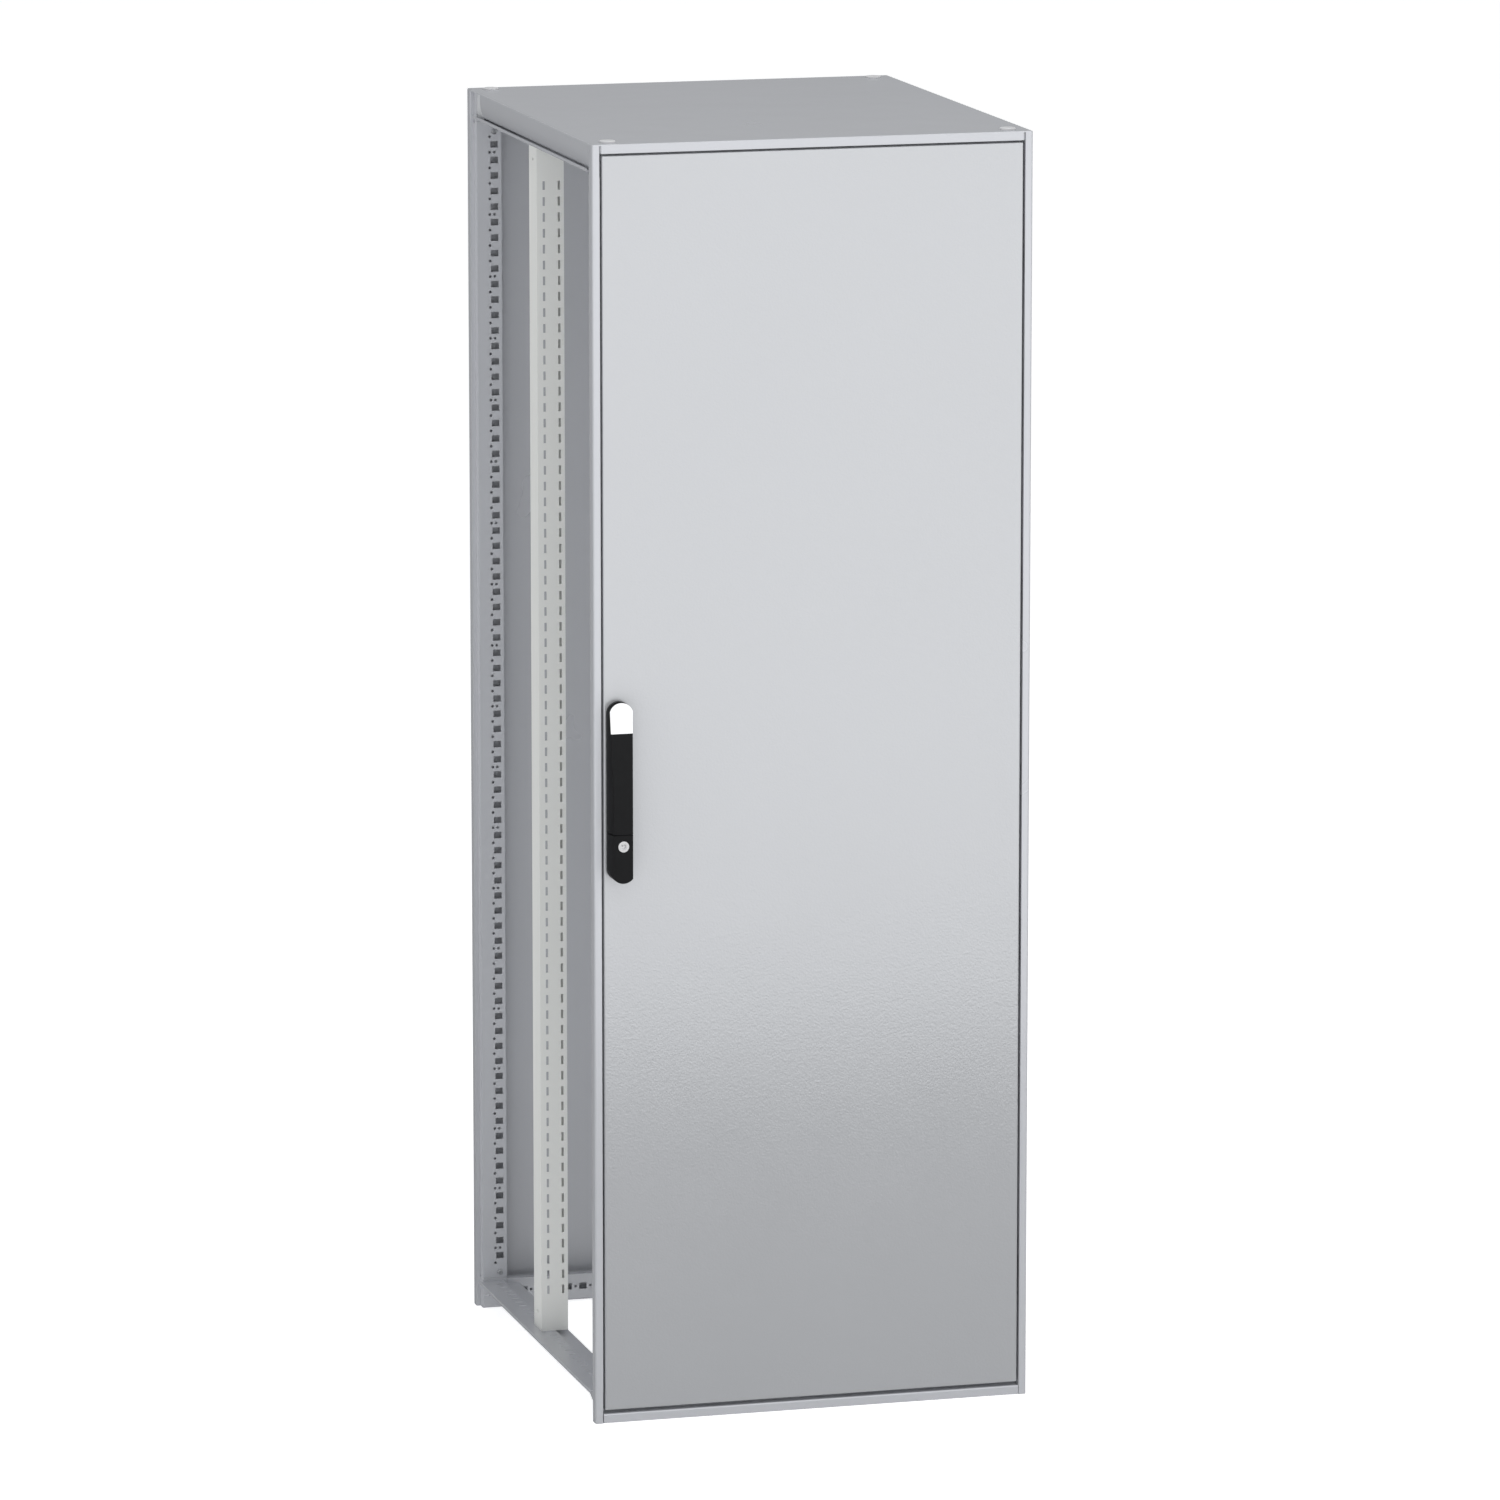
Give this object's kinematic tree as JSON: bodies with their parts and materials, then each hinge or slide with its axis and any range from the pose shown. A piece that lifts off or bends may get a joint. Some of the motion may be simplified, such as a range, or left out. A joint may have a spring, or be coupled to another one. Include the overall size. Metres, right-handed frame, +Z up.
{
  "type": "floor-standing switchgear cabinet",
  "caption": "Tall floor-standing sheet-steel cabinet frame with open sides, a flat roof, a rear panel, slotted inner uprights and a full-height hinged door with a folding swing handle.",
  "frame": {"origin": "centre of the four floor fixings, on the floor", "axes": "+Z up, +X to the right seen from the door, +Y from the door to the rear panel"},
  "size_m": [0.7, 0.8328, 2.0032],
  "materials": {
    "frame_paint": "light grey powder coat, fine texture",
    "door_paint": "light grey powder coat, fine leather texture",
    "roof_paint": "light grey powder coat, fine texture",
    "panel_paint": "light grey powder coat",
    "inner_paint": "warm grey coat, satin",
    "zinc_steel": "zinc plated",
    "seal_rubber": "matt foam",
    "cap_plastic": "matt",
    "handle_black": "fine matt grain",
    "insert_white": "smooth",
    "lock_silver": "satin die casting"
  },
  "bodies": {
    "frame": {"upright_front_left": "frame_paint", "upright_front_right": "frame_paint", "upright_rear_left": "frame_paint", "upright_rear_right": "frame_paint", "corner_bottom_front_left": "frame_paint", "corner_bottom_front_right": "frame_paint", "corner_bottom_rear_left": "frame_paint", "corner_bottom_rear_right": "frame_paint", "corner_top_front_left": "frame_paint", "corner_top_front_right": "frame_paint", "corner_top_rear_left": "frame_paint", "corner_top_rear_right": "frame_paint", "cross_rail_front_bottom": "frame_paint", "cross_rail_front_top": "frame_paint", "cross_rail_rear_bottom": "frame_paint", "cross_rail_rear_top": "frame_paint", "depth_rail_bottom_left": "frame_paint", "depth_rail_bottom_right": "frame_paint", "depth_rail_top_left": "frame_paint", "depth_rail_top_right": "frame_paint", "roof_panel": "roof_paint", "roof_screws": "zinc_steel", "roof_plugs": "cap_plastic", "rear_panel": "panel_paint", "rear_panel_screws": "zinc_steel", "rear_panel_seal": "seal_rubber", "inner_upright_left": "inner_paint", "inner_upright_right": "inner_paint", "inner_upright_brackets": "zinc_steel", "inner_upright_screws": "zinc_steel", "hinge_frame_blocks": "zinc_steel", "hinge_frame_screws": "zinc_steel", "rod_keeps": "zinc_steel"},
    "door": {"door_leaf": "door_paint", "door_seal_channel": "frame_paint", "door_seal": "seal_rubber", "door_stiffener": "zinc_steel", "hinge_door_leaves": "zinc_steel", "hinge_pins": "zinc_steel", "hinge_studs": "zinc_steel", "handle_base": "handle_black", "lock_barrel": "lock_silver", "handle_screws": "zinc_steel", "lock_case": "zinc_steel", "rod_guides": "zinc_steel"},
    "handle_rotor": {"handle_spindle": "zinc_steel", "tilt_pin": "zinc_steel", "lock_pinion": "zinc_steel"},
    "handle_grip": {"handle_lever": "handle_black", "handle_insert": "insert_white"},
    "key_plug": {"lock_plug": "lock_silver"},
    "upper_rod": {"lock_rod_upper": "zinc_steel"},
    "lower_rod": {"lock_rod_lower": "zinc_steel"}
  },
  "joints": [
    {"name": "door_hinge", "type": "hinge", "parent": "frame", "child": "door", "pos_m": [0.326, -0.3935, 1], "axis": [0, 0, 1], "range_deg": [0, 120]},
    {"name": "handle_turn", "type": "hinge", "parent": "door", "child": "handle_rotor", "pos_m": [-0.3113, -0.4, 1.105], "axis": [0, -1, 0], "range_deg": [0, 90]},
    {"name": "handle_lift", "type": "hinge", "parent": "handle_rotor", "child": "handle_grip", "pos_m": [-0.3113, -0.413, 1.128], "axis": [-1, 0, 0], "range_deg": [0, 20]},
    {"name": "key_turn", "type": "hinge", "parent": "door", "child": "key_plug", "pos_m": [-0.3113, -0.42, 0.92], "axis": [0, -1, 0], "range_deg": [0, 90]},
    {"name": "upper_rod_slide", "type": "slide", "parent": "door", "child": "upper_rod", "axis": [0, 0, -1], "range_m": [0, 0.0126]},
    {"name": "lower_rod_slide", "type": "slide", "parent": "door", "child": "lower_rod", "axis": [0, 0, 1], "range_m": [0, 0.0126]}
  ],
  "couplings": [
    {"joint": "upper_rod_slide", "follows": "handle_turn", "m_per_rad": 0.008},
    {"joint": "lower_rod_slide", "follows": "handle_turn", "m_per_rad": 0.008}
  ]
}
